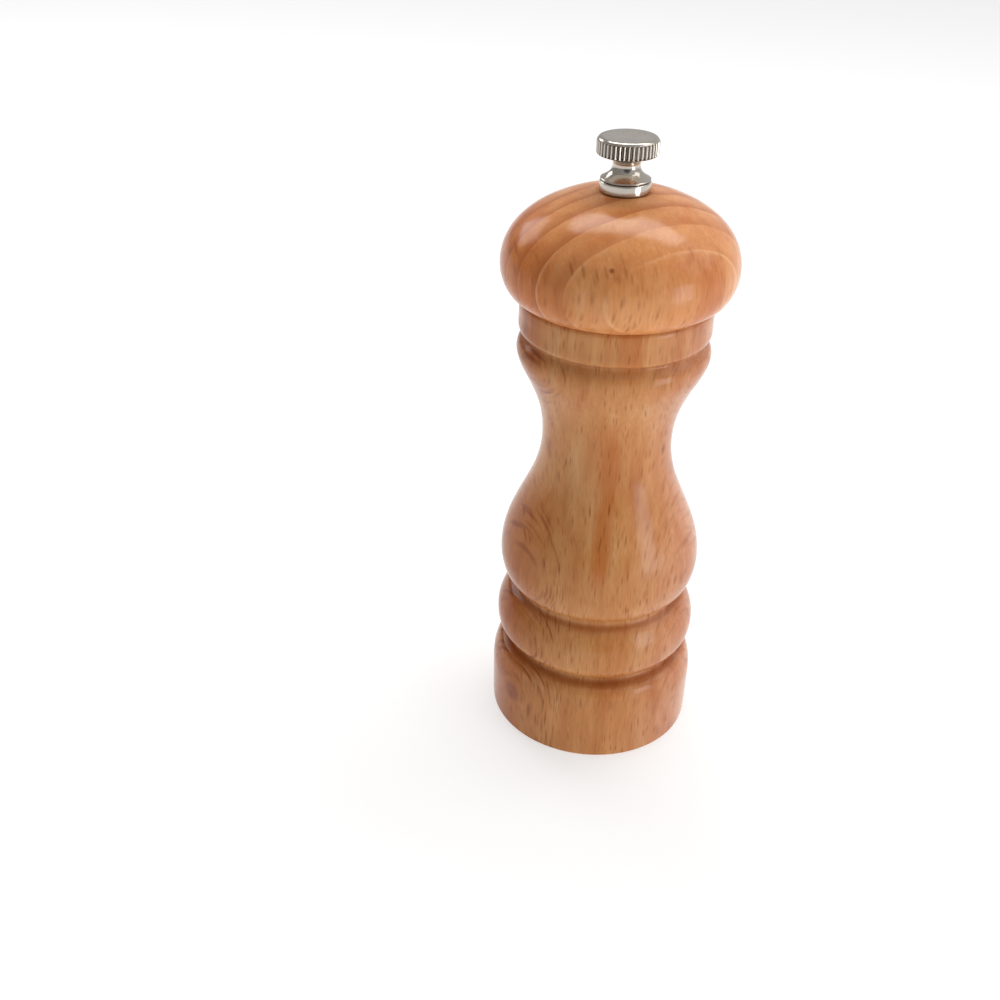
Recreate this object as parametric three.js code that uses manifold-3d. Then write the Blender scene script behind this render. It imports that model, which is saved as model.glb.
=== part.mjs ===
// Hand pepper mill of turned beech: waisted body, domed head, nickel-plated
// adjusting knob and a steel grinding mechanism in the base.
// Millimetres, +Z up. The origin is the centre of the base, on the surface
// that the mill stands on. The mill's axis is the Z axis.
import * as THREE from 'three';
import { mergeVertices } from 'three/addons/utils/BufferGeometryUtils.js';
import Module from 'manifold-3d';

const wasm = await Module();
wasm.setup();

// ---------------------------------------------------------------- dimensions
const SEGMENTS = 36;            // sides of a turned piece

// wooden body
const RECESS_R = 22.0;          // wide recess in the base, for the retaining bar
const LEDGE_Z = 9.0;            // ledge that the retaining bar is screwed to
const SEAT_R = 16.2;            // bore that holds the stator and the stirrup
const SHOULDER_Z = 33.0;        // shoulder above the stirrup
const CHAMBER_R = 12.5;         // peppercorn chamber
const SOCKET_R = 17.0;          // socket for the head's tenon
const SOCKET_Z = 116.4;
const BODY_TOP_Z = 126.0;

// head
const HEAD_Z = 126.3;           // underside of the dome
const TENON_R = 16.6;
const TENON_Z = 118.5;
const HEAD_BORE_R = 3.7;
const COLLAR_RECESS_R = 4.75;
const COLLAR_RECESS_Z = 146.2;
const COLLAR_SEAT_Z = 152.2;

// spindle
const SHAFT_SIDE = 4.8;         // square bar
const SHAFT_ROUND_R = 2.35;     // turned ends, the upper one threaded M5 x 0.8
const SHAFT_BOTTOM_Z = 7.9;
const SQUARE_LOW_Z = 11.1;
const SQUARE_HIGH_Z = 143.0;
const SHAFT_TOP_Z = 162.4;

// rotor and stator
const ROTOR_LOW_Z = 11.0;
const ROTOR_HIGH_Z = 22.5;
const THROAT_Z = 17.0;          // where coarse ridges change to fine teeth
const STATOR_LOW_Z = 9.3;
const STATOR_HIGH_Z = 24.3;
const STATOR_R = 15.9;
const FINE_TEETH = 28;
const COARSE_TEETH = 9;

// knob
const KNOB_TOP_Z = 165.0;
const KNOB_BASE_Z = 155.05;
const KNURL_TEETH = 42;
const KNURL_TIP_R = 7.3;
const KNURL_ROOT_R = 6.92;

// outside of the body, radius and height, from the base upward
const BODY_OUTER = [
  [27.8, 0.0], [28.15, 0.3], [28.2, 1.4], [28.28, 8.0], [28.33, 14.6], [28.1, 17.0],
  [27.5, 19.2], [26.8, 21.0], [25.9, 22.0], [24.7, 22.45], [23.5, 22.8], [23.0, 23.5],
  [23.25, 24.4], [24.75, 25.4], [25.95, 26.7], [27.0, 28.6], [27.38, 31.4], [27.2, 34.0],
  [26.5, 36.4], [25.35, 38.7], [24.4, 40.0], [23.35, 40.7], [22.65, 41.2], [22.4, 42.1],
  [22.7, 43.1], [23.7, 43.9], [25.05, 45.0], [26.15, 47.5], [26.8, 50.6], [26.9, 53.2],
  [26.4, 57.4], [25.2, 61.7], [23.53, 65.8], [20.9, 71.6], [19.2, 75.6], [17.95, 79.6],
  [17.17, 83.6], [16.9, 87.4], [17.12, 91.8], [17.87, 96.0], [19.28, 100.3], [21.12, 104.4],
  [23.05, 108.2], [24.1, 110.9], [24.35, 112.6], [23.9, 114.4], [22.9, 115.6], [22.4, 116.3],
  [22.5, 117.1], [23.6, 117.6], [24.0, 118.5], [24.0, 121.5], [24.0, 125.4], [23.6, BODY_TOP_Z],
];

// outside of the head, from the underside's edge to the collar's seat
const HEAD_OUTER = [
  [24.3, HEAD_Z], [25.1, 126.7], [26.75, 128.1], [28.1, 130.3], [28.85, 132.8], [29.0, 135.0],
  [28.75, 137.3], [27.93, 139.9], [26.5, 142.4], [24.25, 144.9], [21.1, 147.3], [17.2, 149.35],
  [12.8, 151.05], [6.9, 152.35], [6.6, COLLAR_SEAT_Z],
];

// ---------------------------------------------------------------- helpers
// One closed skin: shared vertices, no zero-area triangles, facing out.
function closed(geometry) {
  const g = geometry.index ? geometry.toNonIndexed() : geometry.clone();
  for (const name of Object.keys(g.attributes)) if (name !== 'position') g.deleteAttribute(name);
  const merged = mergeVertices(g, 1e-4);
  const p = merged.attributes.position;
  const source = merged.index.array;
  const keep = [];
  let volume = 0;
  for (let i = 0; i < source.length; i += 3) {
    const [a, b, c] = [source[i], source[i + 1], source[i + 2]];
    if (a === b || b === c || c === a) continue;
    keep.push(a, b, c);
    const A = new THREE.Vector3().fromBufferAttribute(p, a);
    const B = new THREE.Vector3().fromBufferAttribute(p, b);
    const C = new THREE.Vector3().fromBufferAttribute(p, c);
    volume += A.dot(B.cross(C)) / 6;
  }
  if (volume < 0) for (let i = 0; i < keep.length; i += 3) [keep[i], keep[i + 1]] = [keep[i + 1], keep[i]];
  const out = new THREE.BufferGeometry();
  out.setAttribute('position', new THREE.BufferAttribute(new Float32Array(p.array), 3));
  out.setIndex(keep);
  return out;
}

function solid(geometry) {
  const g = closed(geometry);
  return new wasm.Manifold(new wasm.Mesh({
    numProp: 3,
    vertProperties: new Float32Array(g.attributes.position.array),
    triVerts: new Uint32Array(g.index.array),
  }));
}

function geometryOf(manifold) {
  const m = manifold.getMesh();
  const g = new THREE.BufferGeometry();
  g.setAttribute('position', new THREE.BufferAttribute(new Float32Array(m.vertProperties), 3));
  g.setIndex(new THREE.BufferAttribute(new Uint32Array(m.triVerts), 1));
  g.computeVertexNormals();
  return g;
}

// Solid turned about Z from [radius, height] points that go round its section.
// A section that touches the axis starts and ends on it; any other is a ring.
function turned(points, segments = SEGMENTS) {
  const list = points.map(([r, z]) => new THREE.Vector2(r, z));
  const first = list[0];
  const last = list[list.length - 1];
  if (first.x > 0 || last.x > 0) list.push(first.clone());
  const g = new THREE.LatheGeometry(list, segments);
  g.rotateX(Math.PI / 2);
  return g;
}

function rod(radius, low, high, x = 0, y = 0, sides = 16) {
  const g = new THREE.CylinderGeometry(radius, radius, high - low, sides);
  g.rotateX(Math.PI / 2);
  g.translate(x, y, (low + high) / 2);
  return g;
}

function block(sx, sy, low, high, x = 0, y = 0) {
  const g = new THREE.BoxGeometry(sx, sy, high - low);
  g.translate(x, y, (low + high) / 2);
  return g;
}

function plate(shape, low, high, curveSegments = 12) {
  const g = new THREE.ExtrudeGeometry(shape, { depth: high - low, bevelEnabled: false, curveSegments });
  g.translate(0, 0, low);
  return g;
}

function polygon(target, radius, sides, x = 0, y = 0, phase = 0) {
  for (let i = 0; i < sides; i++) {
    const a = phase + (i / sides) * Math.PI * 2;
    const px = x + radius * Math.cos(a);
    const py = y + radius * Math.sin(a);
    if (i === 0) target.moveTo(px, py); else target.lineTo(px, py);
  }
  target.closePath();
  return target;
}

function squareHole(half) {
  const p = new THREE.Path();
  p.moveTo(-half, -half); p.lineTo(-half, half); p.lineTo(half, half); p.lineTo(half, -half);
  p.closePath();
  return p;
}

// Toothed solid about Z: a star section drawn along Z, whose tip and root
// radii and twist follow the levels [z, tip radius, root radius, twist].
function toothed(teeth, levels) {
  const star = new THREE.Shape();
  for (let i = 0; i < teeth * 2; i++) {
    const a = (i / (teeth * 2)) * Math.PI * 2;
    const r = i % 2 ? 0.9 : 1.0;
    if (i === 0) star.moveTo(r * Math.cos(a), r * Math.sin(a));
    else star.lineTo(r * Math.cos(a), r * Math.sin(a));
  }
  star.closePath();
  const steps = levels.length - 1;
  const g = new THREE.ExtrudeGeometry(star, { depth: steps, steps, bevelEnabled: false });
  const p = g.attributes.position;
  for (let i = 0; i < p.count; i++) {
    const [z, tip, root, twist] = levels[Math.round(p.getZ(i))];
    const isTip = Math.hypot(p.getX(i), p.getY(i)) > 0.95;
    const a = Math.atan2(p.getY(i), p.getX(i)) + twist;
    const r = isTip ? tip : root;
    p.setXYZ(i, r * Math.cos(a), r * Math.sin(a), z);
  }
  return g;
}

const group = new THREE.Group();
function add(name, source, color, roughness, metalness) {
  const geometry = source instanceof THREE.BufferGeometry ? closed(source) : geometryOf(source);
  geometry.computeVertexNormals();
  const mesh = new THREE.Mesh(geometry, new THREE.MeshStandardMaterial({ color, roughness, metalness }));
  mesh.name = name;
  group.add(mesh);
  return mesh;
}

const BEECH = 0xc88c5f;
const NICKEL = 0xb9aea2;
const STEEL = 0x9b9ea2;
const DARK_STEEL = 0x5c5e62;

// ---------------------------------------------------------------- wooden body
const BAR_SCREW_X = 19.2;
const bodySection = [
  ...BODY_OUTER,
  [SOCKET_R + 0.6, BODY_TOP_Z], [SOCKET_R, BODY_TOP_Z - 0.6], [SOCKET_R, SOCKET_Z],
  [CHAMBER_R, SOCKET_Z], [CHAMBER_R, 75], [CHAMBER_R, SHOULDER_Z],
  [SEAT_R, SHOULDER_Z], [SEAT_R, LEDGE_Z], [RECESS_R, LEDGE_Z], [RECESS_R, 0.8], [RECESS_R + 0.8, 0],
];
let body = solid(turned(bodySection));
for (const side of [-1, 1]) body = body.subtract(solid(rod(1.6, LEDGE_Z - 1, 18.2, side * BAR_SCREW_X, 0, 12)));
add('body', body, BEECH, 0.3, 0);

// ---------------------------------------------------------------- head
const PLATE_SCREW_R = 9.5;
const plateScrewAngles = [90, 210, 330].map((d) => THREE.MathUtils.degToRad(d));
const headSection = [
  ...HEAD_OUTER,
  [COLLAR_RECESS_R, COLLAR_SEAT_Z], [COLLAR_RECESS_R, COLLAR_RECESS_Z],
  [HEAD_BORE_R, COLLAR_RECESS_Z], [HEAD_BORE_R, TENON_Z],
  [TENON_R - 0.8, TENON_Z], [TENON_R, TENON_Z + 0.8], [TENON_R, HEAD_Z],
];
let head = solid(turned(headSection));
for (const a of plateScrewAngles) {
  head = head.subtract(solid(rod(1.2, TENON_Z - 1, 126.6, PLATE_SCREW_R * Math.cos(a), PLATE_SCREW_R * Math.sin(a), 10)));
}
add('head', head, BEECH, 0.3, 0);

// ---------------------------------------------------------------- collar and knob
add('knob_collar', turned([
  [2.75, 146.5], [4.35, 146.5], [4.6, 146.8], [4.6, 152.35], [5.95, 152.35], [6.08, 152.5],
  [6.08, 154.65], [5.9, 154.9], [2.75, 154.9],
], 30), NICKEL, 0.2, 1);

let knob = solid(turned([
  [2.65, KNOB_BASE_Z], [5.85, KNOB_BASE_Z], [6.0, 155.25], [5.5, 155.65], [4.6, 156.15],
  [3.8, 156.9], [3.4, 157.8], [3.3, 158.5], [3.5, 159.3], [4.4, 160.1], [6.0, 160.75],
  [6.8, 161.1], [6.8, 164.2], [7.08, 164.38], [6.9, 164.75], [6.1, KNOB_TOP_Z],
  [0, KNOB_TOP_Z], [0, 163.4], [2.65, 163.4],
], 24));
knob = knob.add(solid(toothed(KNURL_TEETH, [
  [161.0, KNURL_TIP_R, KNURL_ROOT_R, 0], [164.3, KNURL_TIP_R, KNURL_ROOT_R, 0],
]))).subtract(solid(rod(2.65, KNOB_BASE_Z - 1, 163.4, 0, 0, 24)));
add('adjusting_knob', knob, NICKEL, 0.22, 1);

// ---------------------------------------------------------------- spindle
const CLIP_LOW_Z = 9.25;
const CLIP_HIGH_Z = 10.15;
let shaft = solid(block(SHAFT_SIDE, SHAFT_SIDE, SQUARE_LOW_Z, SQUARE_HIGH_Z));
shaft = shaft.add(solid(turned([
  [0, SHAFT_BOTTOM_Z], [1.9, SHAFT_BOTTOM_Z], [SHAFT_ROUND_R, SHAFT_BOTTOM_Z + 0.4],
  [SHAFT_ROUND_R, CLIP_LOW_Z], [1.8, CLIP_LOW_Z], [1.8, CLIP_HIGH_Z], [SHAFT_ROUND_R, CLIP_HIGH_Z],
  [SHAFT_ROUND_R, SHAFT_TOP_Z - 0.5], [1.9, SHAFT_TOP_Z], [0, SHAFT_TOP_Z],
], 16)));
add('shaft', shaft, STEEL, 0.35, 1);

// Rotor: a steel cone with coarse ridges that feed and crack the corns and
// fine teeth that grind them. A pocket in its top takes the spring.
const SPRING_POCKET_Z = 17.4;
let rotor = solid(toothed(FINE_TEETH, [
  [ROTOR_LOW_Z, 10.6, 9.9, 0], [THROAT_Z, 9.0, 8.3, 0.16],
]));
rotor = rotor.add(solid(toothed(COARSE_TEETH, [
  [THROAT_Z - 0.4, 8.8, 7.4, 0], [19.8, 8.3, 6.6, 0.22], [ROTOR_HIGH_Z, 7.4, 6.2, 0.44],
])));
rotor = rotor.subtract(solid(rod(5.2, SPRING_POCKET_Z, ROTOR_HIGH_Z + 1, 0, 0, 24)));
rotor = rotor.subtract(solid(block(SHAFT_SIDE + 0.24, SHAFT_SIDE + 0.24, ROTOR_LOW_Z - 1, ROTOR_HIGH_Z)));
add('rotor', rotor, DARK_STEEL, 0.45, 1);

add('rotor_washer', turned([[2.5, 10.25], [5.2, 10.25], [5.2, 10.9], [2.5, 10.9]], 24), STEEL, 0.35, 1);

// Open retaining clip in the shaft's groove
const clip = new THREE.Shape();
const CLIP_GAP = THREE.MathUtils.degToRad(35);
clip.absarc(0, 0, 4.1, CLIP_GAP, Math.PI * 2 - CLIP_GAP, false);
clip.absarc(0, 0, 1.95, Math.PI * 2 - CLIP_GAP, CLIP_GAP, true);
clip.closePath();
add('retaining_clip', plate(clip, 9.35, 10.05, 10), DARK_STEEL, 0.4, 1);

// Compression spring of round wire, with a closed coil at each end
const SPRING_R = 4.15;
const WIRE_R = 0.5;
const SPRING_LOW_Z = 18.0;
const SPRING_HIGH_Z = 28.35;
const SPRING_TURNS = 4.5;
class Helix extends THREE.Curve {
  getPoint(t, target = new THREE.Vector3()) {
    const dead = 0.9;
    const closedPitch = 1.15;
    const openPitch = (SPRING_HIGH_Z - SPRING_LOW_Z - 2 * dead * closedPitch) / (SPRING_TURNS - 2 * dead);
    const u = t * SPRING_TURNS;
    let z = SPRING_LOW_Z + closedPitch * Math.min(u, dead);
    z += openPitch * Math.min(Math.max(u - dead, 0), SPRING_TURNS - 2 * dead);
    z += closedPitch * Math.max(u - (SPRING_TURNS - dead), 0);
    const a = u * Math.PI * 2;
    return target.set(SPRING_R * Math.cos(a), SPRING_R * Math.sin(a), z);
  }
}
const wire = polygon(new THREE.Shape(), WIRE_R, 6);
add('spring', new THREE.ExtrudeGeometry(wire, { extrudePath: new Helix(), steps: 63, bevelEnabled: false }), STEEL, 0.3, 1);

// Spring seat: square-holed washer that turns with the shaft under the stirrup
const seat = polygon(new THREE.Shape(), 5.4, 24);
seat.holes.push(squareHole(SHAFT_SIDE / 2 + 0.15));
add('spring_seat', plate(seat, 28.95, 29.85), STEEL, 0.35, 1);

// ---------------------------------------------------------------- fixed mechanism
add('thrust_washer', turned([[3.7, 30.1], [5.8, 30.1], [5.8, 31.0], [3.7, 31.0]], 24), 0xb08d4f, 0.4, 1);

// Stirrup: bent strip that stands on the stator under the shoulder and guides the shaft
const STIRRUP_HALF = 15.4;
const STIRRUP_T = 1.4;
const STIRRUP_LOW = STATOR_HIGH_Z + 0.1;
const STIRRUP_TOP = SHOULDER_Z - 0.3;
const bent = new THREE.Shape();
bent.moveTo(-STIRRUP_HALF, STIRRUP_LOW);
bent.lineTo(-STIRRUP_HALF + STIRRUP_T, STIRRUP_LOW);
bent.lineTo(-STIRRUP_HALF + STIRRUP_T, STIRRUP_TOP - STIRRUP_T - 0.8);
bent.lineTo(-STIRRUP_HALF + STIRRUP_T + 0.8, STIRRUP_TOP - STIRRUP_T);
bent.lineTo(STIRRUP_HALF - STIRRUP_T - 0.8, STIRRUP_TOP - STIRRUP_T);
bent.lineTo(STIRRUP_HALF - STIRRUP_T, STIRRUP_TOP - STIRRUP_T - 0.8);
bent.lineTo(STIRRUP_HALF - STIRRUP_T, STIRRUP_LOW);
bent.lineTo(STIRRUP_HALF, STIRRUP_LOW);
bent.lineTo(STIRRUP_HALF, STIRRUP_TOP - 1.6);
bent.lineTo(STIRRUP_HALF - 0.5, STIRRUP_TOP - 0.5);
bent.lineTo(STIRRUP_HALF - 1.6, STIRRUP_TOP);
bent.lineTo(-STIRRUP_HALF + 1.6, STIRRUP_TOP);
bent.lineTo(-STIRRUP_HALF + 0.5, STIRRUP_TOP - 0.5);
bent.lineTo(-STIRRUP_HALF, STIRRUP_TOP - 1.6);
bent.closePath();
const strip = new THREE.ExtrudeGeometry(bent, { depth: 8, bevelEnabled: false });
strip.translate(0, 0, -4);
strip.rotateX(Math.PI / 2);
let stirrup = solid(strip).add(solid(rod(6.2, STIRRUP_TOP - STIRRUP_T, STIRRUP_TOP, 0, 0, 28)));
stirrup = stirrup.subtract(solid(rod(3.75, 25, SHOULDER_Z, 0, 0, 24)));
add('stirrup', stirrup, STEEL, 0.35, 1);

// Stator: steel ring with coarse grooves at the mouth and fine teeth below the throat
let stator = solid(turned([
  [0, STATOR_LOW_Z], [STATOR_R - 0.4, STATOR_LOW_Z], [STATOR_R, STATOR_LOW_Z + 0.4],
  [STATOR_R, STATOR_HIGH_Z], [0, STATOR_HIGH_Z],
]));
stator = stator.subtract(solid(toothed(FINE_TEETH + 2, [
  [STATOR_LOW_Z - 0.5, 12.5, 11.8, 0], [THROAT_Z, 10.5, 9.85, -0.16],
])));
stator = stator.subtract(solid(toothed(COARSE_TEETH + 1, [
  [THROAT_Z - 0.4, 11.2, 9.95, 0], [20.4, 12.4, 10.9, -0.2], [STATOR_HIGH_Z + 0.5, 14.4, 13.4, -0.4],
])));
add('stator', stator, DARK_STEEL, 0.45, 1);

// Retaining bar under the stator, with an eye that clears the shaft's end
const BAR_LOW_Z = 7.4;
const BAR_HIGH_Z = 8.9;
const barOutline = new THREE.Shape();
barOutline.moveTo(-17.0, -4.2); barOutline.lineTo(17.0, -4.2);
barOutline.absarc(17.0, 0, 4.2, -Math.PI / 2, Math.PI / 2, false);
barOutline.lineTo(-17.0, 4.2);
barOutline.absarc(-17.0, 0, 4.2, Math.PI / 2, Math.PI * 1.5, false);
barOutline.closePath();
let bar = solid(plate(barOutline, BAR_LOW_Z, BAR_HIGH_Z, 8)).add(solid(rod(10.0, BAR_LOW_Z, BAR_HIGH_Z, 0, 0, 32)));
bar = bar.subtract(solid(rod(6.6, BAR_LOW_Z - 1, BAR_HIGH_Z + 1, 0, 0, 28)));
for (const side of [-1, 1]) bar = bar.subtract(solid(rod(1.7, BAR_LOW_Z - 1, BAR_HIGH_Z + 1, side * BAR_SCREW_X, 0, 12)));
add('retaining_bar', bar, STEEL, 0.35, 1);

// Slotted wood screw with its head below, pointing up
function woodScrew(x, y, seatZ, headR, headH, shankR, tipZ, turn) {
  let s = solid(turned([
    [0, seatZ - headH], [headR * 0.55, seatZ - headH], [headR * 0.9, seatZ - headH * 0.6], [headR, seatZ - headH * 0.25],
    [headR, seatZ], [shankR, seatZ], [shankR, tipZ - shankR * 1.8], [0, tipZ],
  ], 14));
  const slot = block(headR * 3, headR * 0.34, seatZ - headH - 1, seatZ - headH * 0.5);
  slot.rotateZ(turn);
  s = s.subtract(solid(slot));
  const g = geometryOf(s);
  g.translate(x, y, 0);
  return g;
}
add('bar_screw_1', woodScrew(BAR_SCREW_X, 0, BAR_LOW_Z - 0.05, 2.6, 1.5, 1.35, 17.6, 0.4), STEEL, 0.3, 1);
add('bar_screw_2', woodScrew(-BAR_SCREW_X, 0, BAR_LOW_Z - 0.05, 2.6, 1.5, 1.35, 17.6, 1.3), STEEL, 0.3, 1);

// ---------------------------------------------------------------- drive plate
const DRIVE_LOW_Z = 117.2;
const DRIVE_HIGH_Z = 118.4;
const driveShape = polygon(new THREE.Shape(), 13.4, 32);
driveShape.holes.push(squareHole(SHAFT_SIDE / 2 + 0.15));
for (const a of plateScrewAngles) {
  driveShape.holes.push(polygon(new THREE.Path(), 1.15, 12, PLATE_SCREW_R * Math.cos(a), PLATE_SCREW_R * Math.sin(a)));
}
add('drive_plate', plate(driveShape, DRIVE_LOW_Z, DRIVE_HIGH_Z), STEEL, 0.35, 1);
plateScrewAngles.forEach((a, i) => {
  add(`drive_plate_screw_${i + 1}`, woodScrew(PLATE_SCREW_R * Math.cos(a), PLATE_SCREW_R * Math.sin(a),
    DRIVE_LOW_Z - 0.05, 1.9, 0.9, 0.95, 126.0, a), STEEL, 0.3, 1);
});

export default group;
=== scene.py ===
"""Looks of the turned beech pepper mill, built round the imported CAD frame."""
import bpy
import math
import numpy as np
from mathutils import Matrix, Vector


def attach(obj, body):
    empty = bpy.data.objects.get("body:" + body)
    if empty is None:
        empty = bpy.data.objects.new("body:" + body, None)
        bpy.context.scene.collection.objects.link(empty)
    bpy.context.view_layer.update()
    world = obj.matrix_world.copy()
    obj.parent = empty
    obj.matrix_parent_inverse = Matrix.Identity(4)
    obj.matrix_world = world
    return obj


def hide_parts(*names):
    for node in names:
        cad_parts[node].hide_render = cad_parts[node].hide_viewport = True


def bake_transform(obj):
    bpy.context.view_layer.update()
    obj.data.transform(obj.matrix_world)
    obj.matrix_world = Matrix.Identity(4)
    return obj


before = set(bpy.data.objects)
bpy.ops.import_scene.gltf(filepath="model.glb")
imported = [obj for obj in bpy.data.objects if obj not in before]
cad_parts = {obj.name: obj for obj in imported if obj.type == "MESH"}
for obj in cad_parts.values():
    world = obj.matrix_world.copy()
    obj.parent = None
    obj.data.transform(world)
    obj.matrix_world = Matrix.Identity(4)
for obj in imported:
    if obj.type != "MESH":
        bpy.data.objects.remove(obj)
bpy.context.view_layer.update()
MM = 0.001
scene = bpy.context.scene

# ------------------------------------------------------------------ camera
FOCAL = 1216.35          # for a frame 1000 wide
PITCH = math.radians(31.759)
ROLL = 0.002825
cam_data = bpy.data.cameras.new("camera")
cam = bpy.data.objects.new("camera", cam_data)
scene.collection.objects.link(cam)
cam_data.sensor_width = 36.0
cam_data.lens = FOCAL / 1000 * 36.0
cam_data.shift_x = (500 - 461.15) / 1000
cam_data.shift_y = 0.0
cam_data.clip_start, cam_data.clip_end = 0.01, 50
cam.location = (-0.038148, -0.280681, 0.240546)
cam.rotation_euler = (Matrix.Rotation(math.pi / 2 - PITCH, 4, "X") @ Matrix.Rotation(ROLL, 4, "Z")).to_euler()
scene.camera = cam


# ------------------------------------------------------------------ mesh tools
def spline(points, per_mm=2.0, least=2):
    """Centripetal Catmull-Rom through [radius, height] points, as a dense polyline."""
    p = [np.array(q, float) for q in points]
    p = [2 * p[0] - p[1]] + p + [2 * p[-1] - p[-2]]
    out = []
    for i in range(1, len(p) - 2):
        p0, p1, p2, p3 = p[i - 1:i + 3]
        t = [0.0]
        for a, b in ((p0, p1), (p1, p2), (p2, p3)):
            t.append(t[-1] + max(np.linalg.norm(b - a), 1e-6) ** 0.5)
        n = max(least, int(math.ceil(np.linalg.norm(p2 - p1) * per_mm)))
        for s in np.linspace(t[1], t[2], n, endpoint=False):
            a1 = (t[1] - s) / (t[1] - t[0]) * p0 + (s - t[0]) / (t[1] - t[0]) * p1
            a2 = (t[2] - s) / (t[2] - t[1]) * p1 + (s - t[1]) / (t[2] - t[1]) * p2
            a3 = (t[3] - s) / (t[3] - t[2]) * p2 + (s - t[2]) / (t[3] - t[2]) * p3
            b1 = (t[2] - s) / (t[2] - t[0]) * a1 + (s - t[0]) / (t[2] - t[0]) * a2
            b2 = (t[3] - s) / (t[3] - t[1]) * a2 + (s - t[1]) / (t[3] - t[1]) * a3
            out.append((t[2] - s) / (t[2] - t[1]) * b1 + (s - t[1]) / (t[2] - t[1]) * b2)
    out.append(p[-2])
    return [tuple(q) for q in out]


def eased(points, steps=4):
    """Polyline of (radius, height[, fillet]) points with each corner rounded by its fillet."""
    out = []
    for i, q in enumerate(points):
        f = q[2] if len(q) > 2 else 0
        here = np.array(q[:2], float)
        if f <= 0 or i in (0, len(points) - 1):
            out.append(tuple(here))
            continue
        a = np.array(points[i - 1][:2], float) - here
        b = np.array(points[i + 1][:2], float) - here
        la, lb = np.linalg.norm(a), np.linalg.norm(b)
        d = min(f, la * 0.49, lb * 0.49)
        s, e = here + a / la * d, here + b / lb * d
        for t in np.linspace(0, 1, steps + 1):
            out.append(tuple((1 - t) ** 2 * s + 2 * t * (1 - t) * here + t ** 2 * e))
    return out


def make(name, verts, faces, mats=(), face_mats=None, sharp=35.0):
    """New mesh object in metres from millimetre vertices, smooth but for edges over `sharp` degrees."""
    mesh = bpy.data.meshes.new(name)
    mesh.from_pydata([tuple(v) for v in np.asarray(verts, float) * MM], [], faces)
    for m in mats:
        mesh.materials.append(m)
    if face_mats is not None:
        mesh.polygons.foreach_set("material_index", face_mats)
    mesh.polygons.foreach_set("use_smooth", [True] * len(mesh.polygons))
    mesh.update()
    mesh.set_sharp_from_angle(angle=math.radians(sharp))
    ob = bpy.data.objects.new(name, mesh)
    scene.collection.objects.link(ob)
    return ob


def turned(name, section, seg=96, mats=(), raw=None, shape=None, sharp=35.0):
    """Solid turned about Z. `section` runs anticlockwise (radius right, height up) and is a closed loop,
    or starts and ends on the axis. raw(r, z) gives the material index of a face at that place.
    shape(angles, r, z) gives the radii round one ring."""
    section = [section[0]] + [q for p, q in zip(section, section[1:]) if math.hypot(q[0] - p[0], q[1] - p[1]) > 1e-4]
    loop = section[0][0] > 1e-6 or section[-1][0] > 1e-6
    if loop and math.hypot(section[0][0] - section[-1][0], section[0][1] - section[-1][1]) < 1e-4:
        section = section[:-1]
    ang = np.arange(seg) / seg * 2 * math.pi
    verts, rings = [], []
    for r, z in section:
        if r <= 1e-6:
            rings.append([len(verts)])
            verts.append((0, 0, z))
            continue
        rr = shape(ang, r, z) if shape else np.full(seg, r)
        start = len(verts)
        verts.extend(zip(rr * np.cos(ang), rr * np.sin(ang), np.full(seg, z)))
        rings.append(list(range(start, start + seg)))
    faces, index = [], []
    count = len(section)
    pairs = [(i, (i + 1) % count) for i in range(count if loop else count - 1)]
    for i, k in pairs:
        a, b = rings[i], rings[k]
        mr, mz = (section[i][0] + section[k][0]) / 2, (section[i][1] + section[k][1]) / 2
        m = raw(mr, mz) if raw else 0
        for j in range(seg):
            n = (j + 1) % seg
            if len(a) == 1 and len(b) == 1:
                continue
            if len(a) == 1:
                faces.append((a[0], b[n], b[j]))
            elif len(b) == 1:
                faces.append((a[j], a[n], b[0]))
            else:
                faces.append((a[j], a[n], b[n], b[j]))
            index.append(m)
    return make(name, verts, faces, mats, index, sharp)


def sweep(name, path, radius, sides=12, mats=()):
    """Round wire along a path of millimetre points, with domed ends."""
    p = np.array(path, float)
    t = np.gradient(p, axis=0)
    t /= np.linalg.norm(t, axis=1)[:, None]
    up = np.array([0, 0, 1.0])
    verts, faces = [], []
    stations = []
    for k, s in ((0.15, 0.98), (0.55, 0.8), (0.9, 0.42)):
        stations.append((p[0] - t[0] * radius * k * 0.6, t[0], s))
    stations = stations[::-1] + [(a, b, 1.0) for a, b in zip(p, t)]
    for k, s in ((0.15, 0.98), (0.55, 0.8), (0.9, 0.42)):
        stations.append((p[-1] + t[-1] * radius * k * 0.6, t[-1], s))
    for centre, tangent, s in stations:
        side = np.cross(tangent, up)
        side /= np.linalg.norm(side)
        other = np.cross(side, tangent)
        for j in range(sides):
            a = j / sides * 2 * math.pi
            verts.append(centre + radius * s * (math.cos(a) * side + math.sin(a) * other))
    n = len(stations)
    for i in range(n - 1):
        for j in range(sides):
            k = (j + 1) % sides
            faces.append((i * sides + j, i * sides + k, (i + 1) * sides + k, (i + 1) * sides + j))
    faces.append(tuple(range(sides))[::-1])
    faces.append(tuple((n - 1) * sides + j for j in range(sides)))
    return make(name, verts, faces, mats)


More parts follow.
